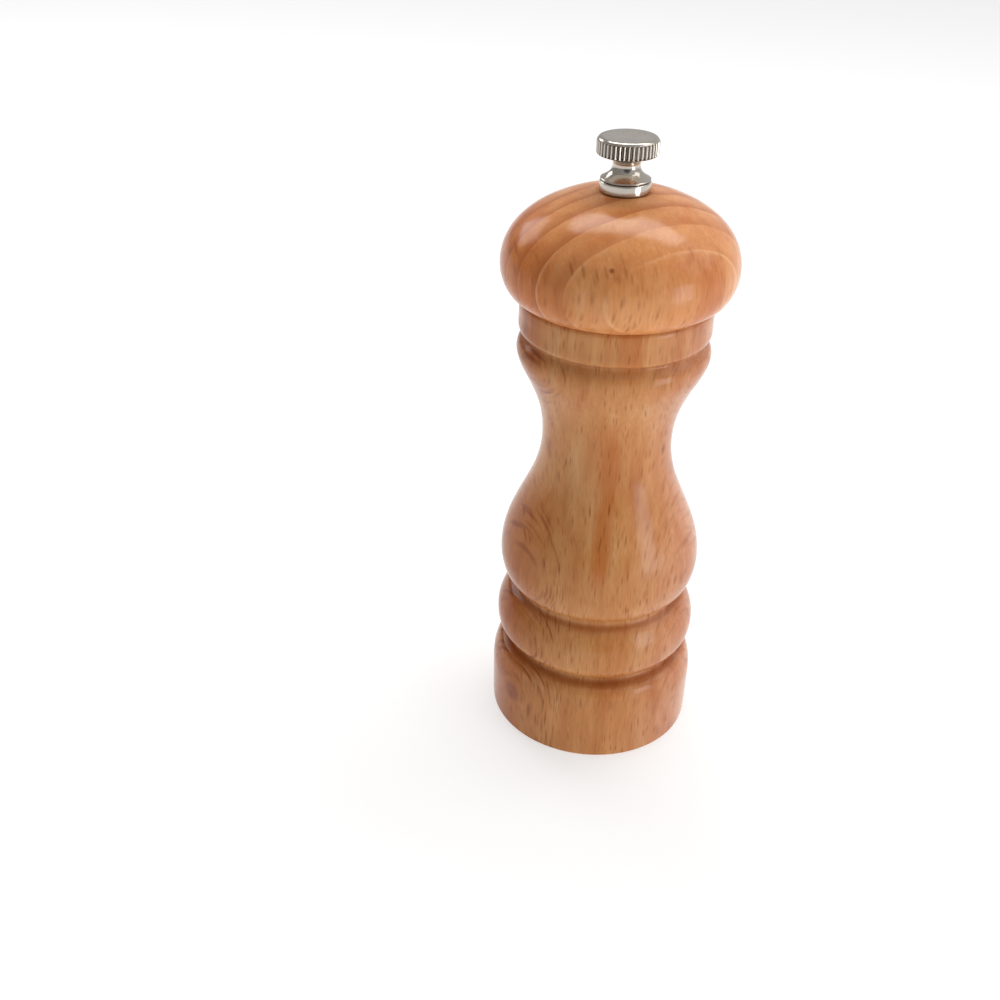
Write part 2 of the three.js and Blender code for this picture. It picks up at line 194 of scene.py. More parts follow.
# ------------------------------------------------------------------ material tools
class Nodes:
    """Short hand for a material's node tree."""

    def __init__(self, name):
        self.mat = bpy.data.materials.new(name)
        self.mat.use_nodes = True
        self.tree = self.mat.node_tree
        self.tree.nodes.clear()
        self.out = self.tree.nodes.new("ShaderNodeOutputMaterial")
        self.bsdf = self.tree.nodes.new("ShaderNodeBsdfPrincipled")
        self.tree.links.new(self.bsdf.outputs[0], self.out.inputs[0])

    def put(self, socket, value):
        if isinstance(value, bpy.types.NodeSocket):
            self.tree.links.new(value, socket)
        elif value is not None:
            socket.default_value = value

    def set(self, **values):
        for key, value in values.items():
            self.put(self.bsdf.inputs[key.replace("_", " ")], value)

    def math(self, op, a, b=None, c=None, clamp=False):
        n = self.tree.nodes.new("ShaderNodeMath")
        n.operation, n.use_clamp = op, clamp
        for i, v in enumerate((a, b, c)):
            self.put(n.inputs[i], v)
        return n.outputs[0]

    def vmath(self, op, a, b=None, out=0):
        n = self.tree.nodes.new("ShaderNodeVectorMath")
        n.operation = op
        self.put(n.inputs[0], a)
        self.put(n.inputs[1], b)
        return n.outputs[out]

    def xyz(self, x, y, z):
        n = self.tree.nodes.new("ShaderNodeCombineXYZ")
        for i, v in enumerate((x, y, z)):
            self.put(n.inputs[i], v)
        return n.outputs[0]

    def split(self, v):
        n = self.tree.nodes.new("ShaderNodeSeparateXYZ")
        self.put(n.inputs[0], v)
        return n.outputs

    def place(self):
        """Object coordinates in millimetres."""
        n = self.tree.nodes.new("ShaderNodeTexCoord")
        s = self.tree.nodes.new("ShaderNodeVectorMath")
        s.operation = "SCALE"
        self.tree.links.new(n.outputs["Object"], s.inputs[0])
        s.inputs["Scale"].default_value = 1000.0
        return s.outputs[0]

    def noise(self, v, scale=1.0, detail=2.0, rough=0.5, distort=0.0, colour=False):
        n = self.tree.nodes.new("ShaderNodeTexNoise")
        self.put(n.inputs["Vector"], v)
        n.inputs["Scale"].default_value = scale
        n.inputs["Detail"].default_value = detail
        n.inputs["Roughness"].default_value = rough
        n.inputs["Distortion"].default_value = distort
        return n.outputs["Color" if colour else "Fac"]

    def cells(self, v, scale=1.0):
        n = self.tree.nodes.new("ShaderNodeTexVoronoi")
        self.put(n.inputs["Vector"], v)
        n.inputs["Scale"].default_value = scale
        return n.outputs["Distance"], n.outputs["Color"]

    def ramp(self, v, stops, interp="LINEAR"):
        n = self.tree.nodes.new("ShaderNodeValToRGB")
        n.color_ramp.interpolation = interp
        e = n.color_ramp.elements
        while len(e) < len(stops):
            e.new(0.5)
        for el, (pos, col) in zip(e, stops):
            el.position = pos
            el.color = (*col, 1) if len(col) == 3 else col
        self.put(n.inputs[0], v)
        return n.outputs[0]

    def step(self, v, low, high):
        """0 below low, 1 above high, smooth between; low may be above high."""
        n = self.tree.nodes.new("ShaderNodeMapRange")
        n.interpolation_type = "SMOOTHSTEP"
        self.put(n.inputs["Value"], v)
        if low <= high:
            n.inputs["From Min"].default_value, n.inputs["From Max"].default_value = low, high
        else:
            n.inputs["From Min"].default_value, n.inputs["From Max"].default_value = high, low
            n.inputs["To Min"].default_value, n.inputs["To Max"].default_value = 1.0, 0.0
        return n.outputs[0]

    def mix(self, fac, a, b, blend="MIX"):
        n = self.tree.nodes.new("ShaderNodeMix")
        n.data_type, n.blend_type = "RGBA", blend
        self.put(n.inputs[0], fac)
        for i, v in ((6, a), (7, b)):
            self.put(n.inputs[i], (*v, 1) if isinstance(v, tuple) and len(v) == 3 else v)
        return n.outputs[2]

    def bump(self, height, strength=0.3, distance=0.0001, normal=None):
        n = self.tree.nodes.new("ShaderNodeBump")
        n.inputs["Strength"].default_value = strength
        n.inputs["Distance"].default_value = distance
        self.put(n.inputs["Height"], height)
        self.put(n.inputs["Normal"], normal)
        return n.outputs[0]


def lin(r, g, b):
    """Linear colour from 0-255 display values."""
    return tuple(((v / 255 + 0.055) / 1.055) ** 2.4 if v > 10 else v / 255 / 12.92 for v in (r, g, b))


def beech(name, pith, seed, ring_mm, ring_start=0.0, glossy=True, ray=1.0, late_tone=0.25, pale_tone=0.3, tone=1.0,
          hearts=(), knot=None, calm_top=None, left=None, right=None,
          grooves=(), clear=None, flecks=(-2.0, -47.0), cast=(1.0, 1.0, 1.0)):
    """Beech cut from a board whose pith lies at `pith` (mm, X and Y); the grain runs along Z.
    Rays are thin ribbons that radiate from the pith: ticks where the surface faces it, long flecks at its sides.
    hearts are darker streaks (u, half width, low z, high z, depth); knot is the place and radius of a pin knot.
    calm_top (low z, high z) is where the rays fade out upward; left and right tint the wood's -X and +X sides, the left
    darker as painted shade and the right bluer and less saturated as a painted sheen, grooves (z, half width) are
    darkened along a band at each height, and clear (low, high) is where the rings are plainest, from the pith.
    flecks is where the rays at the sides fan out from, and cast tints the whole piece."""
    g = Nodes(name)
    p = g.place()
    x, y, z = g.split(p)
    reach = math.hypot(*pith)
    e1 = (-pith[0] / reach, -pith[1] / reach)
    e2 = (-e1[1], e1[0])
    # slow wander of the grain
    drift = g.noise(g.xyz(g.math("MULTIPLY", x, 0.045), g.math("MULTIPLY", y, 0.045), g.math("MULTIPLY_ADD", z, 0.02, seed)), 1.0, 1.0, 0.4, colour=True)
    dx, dy, dz = g.split(drift)
    xs = g.math("MULTIPLY_ADD", g.math("SUBTRACT", dx, 0.5), 2.6, g.math("SUBTRACT", x, pith[0]))
    ys = g.math("MULTIPLY_ADD", g.math("SUBTRACT", dy, 0.5), 1.4, g.math("SUBTRACT", y, pith[1]))
    a = g.math("ADD", g.math("MULTIPLY", xs, e1[0]), g.math("MULTIPLY", ys, e1[1]))
    b = g.math("ADD", g.math("MULTIPLY", xs, e2[0]), g.math("MULTIPLY", ys, e2[1]))
    rho = g.math("SQRT", g.math("ADD", g.math("MULTIPLY", a, a), g.math("MULTIPLY", b, b)))
    u = g.math("MULTIPLY", g.math("ARCTAN2", b, a), reach)
    zz = g.math("ADD", z, seed * 37.0)

    # slow changes of tone
    broad = g.noise(g.xyz(g.math("MULTIPLY", u, 1 / 3.6), g.math("MULTIPLY", zz, 1 / 34.0), g.math("MULTIPLY", rho, 1 / 4.0)), 1.0, 2.0, 0.55)
    blotch = g.noise(g.xyz(g.math("MULTIPLY", u, 1 / 13.0), g.math("MULTIPLY", zz, 1 / 30.0), g.math("MULTIPLY", rho, 1 / 14.0)), 1.0, 1.0, 0.5)
    # fibres
    fibre = g.noise(g.xyz(g.math("MULTIPLY", u, 1 / 0.45), g.math("MULTIPLY", zz, 1 / 11.0), g.math("MULTIPLY", rho, 1 / 0.8)), 1.0, 3.0, 0.6)

    def rays(du, dz, dr, soft, sharp, few, many, shift, across=u, out=rho):
        """Lens-shaped ribbons, `du` wide, `dz` high and `dr` long cells, kept where the cell's number passes."""
        d, c = g.cells(g.xyz(g.math("MULTIPLY_ADD", across, 1 / du, shift), g.math("MULTIPLY", zz, 1 / dz), g.math("MULTIPLY", out, 1 / dr)))
        c1, c2, c3 = g.split(c)
        t = g.math("MULTIPLY", g.step(d, soft, sharp), g.step(c1, few, many))
        return g.math("MULTIPLY", t, g.math("MULTIPLY_ADD", c2, 0.6, 0.4))

    tick = rays(0.95, 4.4, 13.0, 0.50, 0.06, 0.10, 0.60, 0.0)
    more = rays(0.66, 3.2, 9.0, 0.48, 0.06, 0.30, 0.80, 31.7)
    long_ = rays(2.1, 9.5, 11.0, 0.26, 0.03, 0.45, 0.70, 57.3)
    # long flecks where the surface runs along the rays, at the sides, and thin strands further round
    if flecks:
        fx = g.math("SUBTRACT", xs, flecks[0] - pith[0])
        fy = g.math("SUBTRACT", ys, flecks[1] - pith[1])
        fan = g.math("MULTIPLY", g.math("ARCTAN2", fx, fy), abs(flecks[1]))
        out = g.math("SQRT", g.math("ADD", g.math("MULTIPLY", fx, fx), g.math("MULTIPLY", fy, fy)))
        side = g.math("ABSOLUTE", fan)
        fleck = g.math("MULTIPLY", rays(0.86, 8.5, 14.0, 0.52, 0.12, -0.2, 0.25, 83.1, fan, out), g.step(side, 16.5, 20.0))
        strand = g.math("MULTIPLY", rays(1.5, 26.0, 16.0, 0.20, 0.04, 0.35, 0.5, 21.9, fan, out), g.math("MULTIPLY", g.step(side, 6.0, 11.0), g.step(side, 22.0, 18.0)))
    crowd = g.step(blotch, 0.36, 0.62)

    # growth rings: darker towards the end of each, then a thin pale line
    sway = g.noise(g.xyz(g.math("MULTIPLY", u, 1 / 9.0), g.math("MULTIPLY", zz, 1 / 22.0), 0.0), 1.0, 1.0, 0.4)
    shake = g.noise(g.xyz(g.math("MULTIPLY", u, 1 / 1.3), g.math("MULTIPLY", zz, 1 / 3.5), 0.0), 1.0, 2.0, 0.5)
    along = g.math("ADD", g.math("MULTIPLY_ADD", g.math("SUBTRACT", sway, 0.5), 0.9, g.math("SUBTRACT", rho, ring_start)), g.math("MULTIPLY", g.math("SUBTRACT", shake, 0.5), 0.30))
    ring = g.math("FRACT", g.math("DIVIDE", along, ring_mm))
    late = g.math("MULTIPLY", g.step(ring, 0.35, 1.0), g.step(ring, 1.0, 0.985))
    pale = g.math("MULTIPLY", g.step(ring, 0.0, 0.03), g.step(ring, 0.15, 0.03))
    pale = g.math("MULTIPLY", pale, g.step(g.noise(g.xyz(g.math("MULTIPLY", u, 1 / 8.0), g.math("MULTIPLY", zz, 1 / 9.0), g.math("MULTIPLY", rho, 1 / 7.0)), 1.0, 0.0, 0.5), 0.30, 0.60))
    if calm_top:
        calm = g.step(z, calm_top[1], calm_top[0])
        tick, more, long_ = (g.math("MULTIPLY", t, calm) for t in (tick, more, long_))
        pale = g.math("MULTIPLY", pale, calm)
    if clear:
        plain = g.math("MULTIPLY", g.step(rho, clear[0] - 1.5, clear[0]), g.step(rho, clear[1] + 1.5, clear[1]))
        pale = g.math("MULTIPLY", pale, g.math("MULTIPLY_ADD", plain, 0.8, 0.2))
        late = g.math("MULTIPLY", late, g.math("MULTIPLY_ADD", g.step(rho, clear[1] - 4.0, clear[0] + 3.0), 0.75, 0.25))

    base = g.ramp(
        g.math("ADD", g.math("MULTIPLY", blotch, 0.5), g.math("MULTIPLY", broad, 0.5)),
        [(0.28, lin(190, 112, 58)), (0.43, lin(206, 134, 76)), (0.56, lin(215, 147, 88)), (0.72, lin(223, 163, 108))],
    )
    base = g.mix(1.0, base, cast, "MULTIPLY")
    # painted light: the -X side is tinted darker as painted shade, the +X side bluer and less saturated as a painted
    # sheen
    if left:
        base = g.mix(g.step(x, -14.0, -25.0), base, left, "MULTIPLY")
    if right:
        base = g.mix(g.step(x, 2.0, 24.0), base, right, "MULTIPLY")
    fine = g.math("MULTIPLY_ADD", g.math("SUBTRACT", fibre, 0.5), 0.42, 1.0)
    base = g.mix(1.0, base, g.xyz(fine, fine, fine), "MULTIPLY")
    for u0, half, low, high, depth in hearts:
        edge = g.math("MULTIPLY_ADD", g.math("SUBTRACT", g.noise(g.xyz(g.math("MULTIPLY", u, 1 / 1.1), g.math("MULTIPLY", zz, 1 / 9.0), 0.0), 1.0, 2.0, 0.6), 0.5), 5.0, g.math("ABSOLUTE", g.math("SUBTRACT", u, u0)))
        core = g.math("MULTIPLY", g.step(edge, half, half * 0.25), g.math("MULTIPLY", g.step(z, low, low + 9.0), g.step(z, high, high - 12.0)))
        base = g.mix(g.math("MULTIPLY", core, depth), base, lin(182, 98, 38))
    base = g.mix(g.math("MULTIPLY", late, late_tone), base, lin(172, 88, 40))
    base = g.mix(g.math("MULTIPLY", pale, pale_tone), base, lin(240, 196, 152))
    base = g.mix(g.math("MULTIPLY", more, 0.42 * ray), base, lin(172, 94, 42))
    base = g.mix(g.math("MULTIPLY", g.math("MULTIPLY", tick, g.math("MULTIPLY_ADD", crowd, 0.5, 0.5)), 0.84 * ray), base, lin(150, 78, 32))
    base = g.mix(g.math("MULTIPLY", long_, 0.74 * ray), base, lin(142, 70, 26))
    if flecks:
        base = g.mix(g.math("MULTIPLY", fleck, g.math("MULTIPLY_ADD", g.step(x, 4.0, -4.0), 0.50 * ray, 0.25 * ray)), base, lin(132, 58, 20))
        base = g.mix(g.math("MULTIPLY", strand, g.math("MULTIPLY_ADD", g.step(x, 4.0, -4.0), 0.40 * ray, 0.2 * ray)), base, lin(150, 74, 28))
    # darker bands at the listed groove heights
    for at, half in grooves:
        near = g.math("ABSOLUTE", g.math("SUBTRACT", z, at))
        base = g.mix(g.math("MULTIPLY", g.step(near, half, half * 0.1), 0.34), base, lin(140, 72, 32))
    if knot:
        place, size = knot
        near = g.vmath("DISTANCE", p, place, out=1)
        base = g.mix(g.math("MULTIPLY", g.step(near, size * 1.5, size * 0.3), 0.75), base, lin(120, 52, 22))
    if tone != 1.0:
        base = g.mix(1.0, base, (tone, tone, tone), "MULTIPLY")

    g.put(g.bsdf.inputs["Base Color"], base)
    relief = g.math("ADD", g.math("MULTIPLY", tick, -0.8), g.math("MULTIPLY", fibre, 0.5))
    if glossy:
        lacquer = g.noise(p, 0.30, 2.0, 0.5)
        g.set(Roughness=g.math("MULTIPLY_ADD", tick, 0.1, 0.5))
        g.put(g.bsdf.inputs["Normal"], g.bump(relief, 0.25, 0.00004))
        g.bsdf.inputs["Specular IOR Level"].default_value = 0.0
        g.bsdf.inputs["Coat Weight"].default_value = 1.0
        g.bsdf.inputs["Coat Roughness"].default_value = 0.18
        g.bsdf.inputs["Coat IOR"].default_value = 1.31
        g.put(g.bsdf.inputs["Coat Normal"], g.bump(g.math("ADD", g.math("MULTIPLY", relief, 0.3), g.math("MULTIPLY", lacquer, 2.5)), 0.22, 0.00007))
    else:
        g.set(Roughness=g.math("MULTIPLY_ADD", fibre, 0.2, 0.6))
        g.put(g.bsdf.inputs["Normal"], g.bump(relief, 0.6, 0.00012))
        g.bsdf.inputs["Specular IOR Level"].default_value = 0.35
    return g.mat


def metal(name, colour, rough, scratch=0.08, dirt=0.0, dirt_colour=(0.05, 0.04, 0.03), grain=(1, 1, 1), brushed=0.0, valleys=None):
    """Metal with fine scratches, uneven polish and grime in a few spots.
    valleys (outer radius, inner radius, low z, high z) is where the knurl is darkened deep between its teeth."""
    g = Nodes(name)
    p = g.place()
    x, y, z = g.split(p)
    cloudy = g.noise(p, 0.22, 3.0, 0.6)
    fine = g.noise(g.xyz(g.math("MULTIPLY", x, grain[0]), g.math("MULTIPLY", y, grain[1]), g.math("MULTIPLY", z, grain[2])), 9.0, 3.0, 0.7)
    value = g.math("MULTIPLY_ADD", g.math("SUBTRACT", fine, 0.5), 0.12 + brushed, 1.0)
    value = g.math("MULTIPLY", value, g.math("MULTIPLY_ADD", g.math("SUBTRACT", cloudy, 0.5), 0.14, 1.0))
    base = g.mix(1.0, colour, g.xyz(value, value, value), "MULTIPLY")
    if dirt:
        spots = g.step(g.noise(p, 0.5, 4.0, 0.65), 0.52, 0.68)
        base = g.mix(g.math("MULTIPLY", spots, dirt), base, dirt_colour)
        g.put(g.bsdf.inputs["Metallic"], g.math("MULTIPLY_ADD", spots, -0.7 * dirt, 1.0))
    else:
        g.bsdf.inputs["Metallic"].default_value = 1.0
    if valleys:
        outer, inner, low, high = valleys
        reach = g.math("SQRT", g.math("ADD", g.math("MULTIPLY", x, x), g.math("MULTIPLY", y, y)))
        deep = g.math("MULTIPLY", g.step(reach, outer, inner), g.math("MULTIPLY", g.step(z, low, low + 0.2), g.step(z, high, high - 0.2)))
        base = g.mix(g.math("MULTIPLY", deep, 0.86), base, (0.045, 0.035, 0.025))
    g.put(g.bsdf.inputs["Base Color"], base)
    g.put(g.bsdf.inputs["Roughness"], g.math("ADD", g.math("MULTIPLY_ADD", cloudy, 0.10, rough - 0.05), g.math("MULTIPLY", g.math("SUBTRACT", fine, 0.5), scratch)))
    g.put(g.bsdf.inputs["Normal"], g.bump(fine, 0.12 + brushed, 0.00003))
    return g.mat


# pith directions in the row frame: the body's lies out in front of it, the head's behind its left shoulder
BODY_PITH = (-12.0, -84.0)
HEAD_PITH = (-45.0, 98.0)
HEARTS = ((-1.5, 4.6, 52.0, 104.0, 0.62), (-6.3, 5.6, 111.0, 140.0, 0.60))
KNOT = ((-5.06, -26.0, 142.4), 0.6)
# the left and right tints here and in HEAD_WOOD are painted light: painted shade on the -X side, painted sheen on the
# +X side
SHADED_LEFT_TINT, SHEEN_RIGHT_TINT = (0.76, 0.54, 0.32), (0.92, 0.91, 1.32)
GROOVES = ((40.9, 0.9), (22.7, 0.8), (117.0, 0.8), (126.2, 0.5))
BODY_WOOD = dict(late_tone=0.04, pale_tone=0.0, left=SHADED_LEFT_TINT, right=SHEEN_RIGHT_TINT, grooves=GROOVES, cast=(0.88, 0.93, 1.0))
HEAD_WOOD = dict(ray=0.8, late_tone=0.55, pale_tone=0.34, calm_top=(142.5, 148.0), left=(0.88, 0.68, 0.46), right=(1.04, 1.18, 1.5), cast=(1.03, 1.0, 1.06),
                 clear=(118.5, 133.5), flecks=None)
mat_body = beech("beech_body_lacquered", BODY_PITH, 1.7, 7.4, 3.0, hearts=HEARTS, **BODY_WOOD)
mat_head = beech("beech_head_lacquered", HEAD_PITH, 5.3, 5.97, 0.42, knot=KNOT, **HEAD_WOOD)
mat_body_raw = beech("beech_body_raw", BODY_PITH, 1.7, 7.4, 3.0, glossy=False, tone=0.95, late_tone=0.05, pale_tone=0.0)
mat_head_raw = beech("beech_head_raw", HEAD_PITH, 5.3, 5.97, 0.42, glossy=False, tone=0.95, late_tone=0.3, pale_tone=0.2)
# the two nickel colours are the metal's warm grey set darker than bare nickel, as a painted reflection of dark
# surroundings
mat_nickel = metal("nickel_polished", (0.56, 0.51, 0.45), 0.14, scratch=0.05, valleys=(7.24, 6.98, 160.95, 164.45))
mat_brushed = metal("nickel_brushed_top", (0.55, 0.50, 0.45), 0.28, scratch=0.2, grain=(0.25, 6, 1), brushed=0.12)
mat_steel = metal("steel_zinc", (0.60, 0.60, 0.61), 0.30, scratch=0.12)
mat_strip = metal("steel_strip", (0.58, 0.58, 0.59), 0.34, scratch=0.2, grain=(0.3, 4, 4), brushed=0.05)
mat_burr = metal("steel_burr", (0.24, 0.24, 0.25), 0.42, scratch=0.15, dirt=0.75, dirt_colour=(0.045, 0.03, 0.02))
mat_dark = metal("steel_spring_clip", (0.16, 0.16, 0.17), 0.30, scratch=0.12)
mat_spring = metal("steel_spring_wire", (0.50, 0.50, 0.51), 0.24, scratch=0.10)
mat_bronze = metal("bronze", (0.62, 0.44, 0.22), 0.32, scratch=0.1)

# ------------------------------------------------------------------ wooden body
SEG = 216
BODY_OUTER = [
    [28.15, 0.3], [28.2, 1.4], [28.24, 4.0], [28.28, 8.0], [28.33, 12.0], [28.33, 14.6], [28.1, 17.0],
    [27.5, 19.2], [26.8, 21.0], [25.9, 22.0], [24.7, 22.45], [23.5, 22.8], [23.0, 23.5],
    [23.25, 24.4], [24.75, 25.4], [25.95, 26.7], [27.0, 28.6], [27.38, 31.4], [27.2, 34.0],
    [26.5, 36.4], [25.35, 38.7], [24.4, 40.0], [23.35, 40.7], [22.65, 41.2], [22.4, 42.1],
    [22.7, 43.1], [23.7, 43.9], [25.05, 45.0], [26.15, 47.5], [26.8, 50.6], [26.9, 53.2],
    [26.4, 57.4], [25.2, 61.7], [23.53, 65.8], [20.9, 71.6], [19.2, 75.6], [17.95, 79.6],
    [17.17, 83.6], [16.9, 87.4], [17.12, 91.8], [17.87, 96.0], [19.28, 100.3], [21.12, 104.4],
    [23.05, 108.2], [24.1, 110.9], [24.35, 112.6], [23.9, 114.4], [22.9, 115.6], [22.4, 116.3],
    [22.5, 117.1], [23.6, 117.6], [24.0, 118.5], [24.0, 121.5], [24.0, 125.4], [23.6, 126.0],
]
body_section = (
    [(27.8, 0.0)] + spline(BODY_OUTER)
    + eased([(23.6, 126.0), (17.6, 126.0, 0.4), (17.0, 125.4, 0.3), (17.0, 116.4, 0.3), (12.5, 116.4, 0.4), (12.5, 33.0, 0.3),
             (16.2, 33.0, 0.2), (16.2, 9.0, 0.3), (22.0, 9.0, 0.3), (22.0, 0.8, 0.3), (22.8, 0.0)])
)
body = turned("body_wood", body_section, SEG, (mat_body, mat_body_raw),
              raw=lambda r, z: 1 if (r < 23.2 and (z > 125.9 or z < 0.9)) or r < 16.4 or (r < 22.3 and z < 9.5) or (r < 17.3 and z > 116) else 0)
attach(body, "mill_body")
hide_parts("body")

# ------------------------------------------------------------------ head
HEAD_OUTER = [
    [25.1, 126.7], [26.75, 128.1], [28.1, 130.3], [28.85, 132.8], [29.0, 135.0],
    [28.75, 137.3], [27.93, 139.9], [26.5, 142.4], [24.25, 144.9], [21.1, 147.3], [17.2, 149.35],
    [12.8, 151.05], [6.9, 152.35],
]
head_section = (
    [(24.3, 126.3)] + [(min(r, 28.995), z) for r, z in spline(HEAD_OUTER)]
    + eased([(6.9, 152.35), (6.6, 152.2, 0.1), (4.75, 152.2, 0.1), (4.75, 146.2, 0.2), (3.7, 146.2, 0.2), (3.7, 118.5, 0.3),
             (15.8, 118.5, 0.3), (16.6, 119.3, 0.3), (16.6, 126.3, 0.2), (24.3, 126.3)])[1:]
)
head = turned("head_wood", head_section, SEG, (mat_head, mat_head_raw),
              raw=lambda r, z: 1 if r < 6.65 or (z < 126.5 and r < 24.5) else 0)
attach(head, "mill_head")
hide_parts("head")

# ------------------------------------------------------------------ collar and knob
collar = turned("collar_ring", eased([
    (2.75, 146.5), (4.35, 146.5, 0.1), (4.6, 146.8, 0.1), (4.6, 152.35, 0.1), (5.95, 152.35, 0.1), (6.08, 152.5, 0.1),
    (6.08, 154.72, 0.25), (5.8, 154.9, 0.12), (2.75, 154.9, 0.1), (2.75, 146.5)]), 144, (mat_nickel,))
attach(collar, "mill_head")
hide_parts("knob_collar")

TEETH = 42


LUMPS = np.random.default_rng(7).uniform(0.75, 1.15, TEETH)


def knurl(ang, r, z):
    """Coarse straight knurl: narrow crests, deep round valleys, not quite even."""
    if r < 6.88 or not 160.95 <= z <= 164.42:
        return np.full(len(ang), r)
    depth = 0.50 * min(1.0, max(0.0, (z - 160.98) / 0.35)) * min(1.0, max(0.0, (164.4 - z) / 0.25))
    t = ang / (2 * np.pi) * TEETH
    wave = 0.5 + 0.5 * np.cos(2 * np.pi * t)
    return r - depth * LUMPS[np.floor(t).astype(int) % TEETH] ** 0.5 * (1 - wave ** 1.35) * 0.93


knob_profile = (
    eased([(2.65, 155.05), (5.8, 155.05, 0.1), (6.0, 155.2, 0.1), (5.9, 155.42, 0.1)])
    + spline([(5.9, 155.42), (5.35, 155.72), (4.55, 156.25), (3.82, 156.95), (3.4, 157.8), (3.28, 158.5), (3.46, 159.3), (4.2, 159.98), (5.4, 160.5), (6.5, 160.82)], 6)[1:]
    + [(7.0, 161.0), (7.24, 161.15)] + [(7.3, z) for z in np.linspace(161.3, 164.1, 10)] + [(7.27, 164.22), (7.2, 164.32)]
    + [(7.1, 164.42), (7.05, 164.52), (6.93, 164.68), (6.75, 164.82), (6.5, 164.93), (6.2, 164.99), (5.9, 165.0), (5.3, 164.97), (3.5, 164.96), (0, 164.96)]
)
knob = turned("knob_nickel", [(0, 163.4), (2.5, 163.4), (2.65, 163.2)] + knob_profile, 42 * (12), (mat_nickel, mat_brushed),
              raw=lambda r, z: 1 if z > 164.95 and r < 5.8 else 0, shape=knurl, sharp=50)
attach(knob, "knob")
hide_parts("adjusting_knob")

# ------------------------------------------------------------------ mechanism
import bmesh


def refined(node, mat, body, edge=0.12, segments=2, angle=32.0):
    """A finer piece on the node's own solid: flat faces made whole and every edge broken."""
    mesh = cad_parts[node].data.copy()
    mesh.name = node + "_fine"
    bm = bmesh.new()
    bm.from_mesh(mesh)
    bmesh.ops.remove_doubles(bm, verts=bm.verts, dist=2e-6)
    bmesh.ops.dissolve_limit(bm, angle_limit=math.radians(0.6), verts=bm.verts, edges=bm.edges)
    bmesh.ops.recalc_face_normals(bm, faces=bm.faces)
    edges = [e for e in bm.edges if len(e.link_faces) == 2 and e.calc_face_angle(0.0) > math.radians(angle)]
    bmesh.ops.bevel(bm, geom=edges, offset=edge * MM, offset_type="OFFSET", segments=segments, profile=0.5, affect="EDGES", clamp_overlap=True)
    bmesh.ops.remove_doubles(bm, verts=bm.verts, dist=1e-6)
    bmesh.ops.triangulate(bm, faces=[f for f in bm.faces if len(f.verts) > 4])
    bm.to_mesh(mesh)
    bm.free()
    mesh.materials.clear()
    mesh.materials.append(mat)
    mesh.polygons.foreach_set("use_smooth", [True] * len(mesh.polygons))
    mesh.update()
    mesh.set_sharp_from_angle(angle=math.radians(28))
    ob = bpy.data.objects.new(node + "_fine", mesh)
    scene.collection.objects.link(ob)
    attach(ob, body)
    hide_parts(node)
    return ob


for node, mat, body, slot, edge in (
    ("rotor", mat_burr, "spindle", "burr_steel", 0.10), ("stator", mat_burr, "mill_body", "burr_steel", 0.10),
    ("rotor_washer", mat_steel, "spindle", "steel", 0.12), ("retaining_clip", mat_dark, "spindle", "steel", 0.10),
    ("spring_seat", mat_steel, "spindle_seat", "steel", 0.12), ("thrust_washer", mat_bronze, "mill_body", "bronze", 0.12),
    ("stirrup", mat_strip, "mill_body", "steel", 0.16), ("retaining_bar", mat_strip, "mill_body", "steel", 0.20),
    ("bar_screw_1", mat_steel, "mill_body", "steel", 0.10), ("bar_screw_2", mat_steel, "mill_body", "steel", 0.10),
    ("drive_plate", mat_strip, "mill_head", "steel", 0.16), ("drive_plate_screw_1", mat_steel, "mill_head", "steel", 0.08),
    ("drive_plate_screw_2", mat_steel, "mill_head", "steel", 0.08), ("drive_plate_screw_3", mat_steel, "mill_head", "steel", 0.08),
):
    refined(node, mat, body, edge)


def bar_ring(z, half, corner, steps=5):
    """One ring of a square bar with rounded corners, anticlockwise."""
    out = []
    for cx, cy, start in ((1, 1, 0), (-1, 1, 90), (-1, -1, 180), (1, -1, 270)):
        for k in range(steps + 1):
            a = math.radians(start + 90 * k / steps)
            out.append((cx * (half - corner) + corner * math.cos(a), cy * (half - corner) + corner * math.sin(a), z))
    return out


def round_ring(z, radii, count):
    """The same number of points on a circle, evenly round it from the first corner's start."""
    out = []
    for k in range(count):
        a = 2 * math.pi * k / count
        r = radii(a) if callable(radii) else radii
        out.append((r * math.cos(a), r * math.sin(a), z))
    return out


def shaft_mesh():
    """Square bar with a turned tail, a clip groove, and a threaded top."""
    count, pitch = 24, 0.8
    rings = []
    for z, r in ((7.9, 1.7), (7.98, 1.92), (8.3, 2.33), (9.2, 2.34), (9.25, 2.26), (9.27, 1.82), (10.13, 1.82), (10.15, 2.26), (10.2, 2.34), (11.05, 2.34)):
        rings.append(round_ring(z, r, count))
    for z, half, corner in ((11.12, 2.30, 0.5), (11.3, 2.39, 0.35), (12.0, 2.395, 0.32), (77.0, 2.395, 0.32), (142.6, 2.395, 0.32), (142.85, 2.36, 0.4), (142.98, 2.2, 0.6)):
        rings.append(bar_ring(z, half, corner))
    rings.append(round_ring(143.05, 2.1, count))
    rings.append(round_ring(144.0, 2.08, count))
    z = 144.2
    while z < 161.9:
        fade = min(1.0, (z - 144.2) / 0.6, (161.9 - z) / 0.5 + 0.2)
        rings.append(round_ring(z, lambda a, z=z, fade=fade: 2.34 - 0.40 * fade * abs(2 * (((z / pitch) - a / (2 * math.pi)) % 1.0) - 1), count))
        z += 0.1
    rings += [round_ring(162.05, 2.0, count), round_ring(162.3, 1.75, count), round_ring(162.38, 1.4, count)]
    verts = [v for r in rings for v in r]
    faces = []
    for i in range(len(rings) - 1):
        for j in range(count):
            k = (j + 1) % count
            faces.append((i * count + j, i * count + k, (i + 1) * count + k, (i + 1) * count + j))
    faces.append(tuple(range(count))[::-1])
    faces.append(tuple((len(rings) - 1) * count + j for j in range(count)))
    return make("shaft_bar", verts, faces, (mat_steel,), None, 30)


shaft = shaft_mesh()
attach(shaft, "spindle")
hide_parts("shaft")
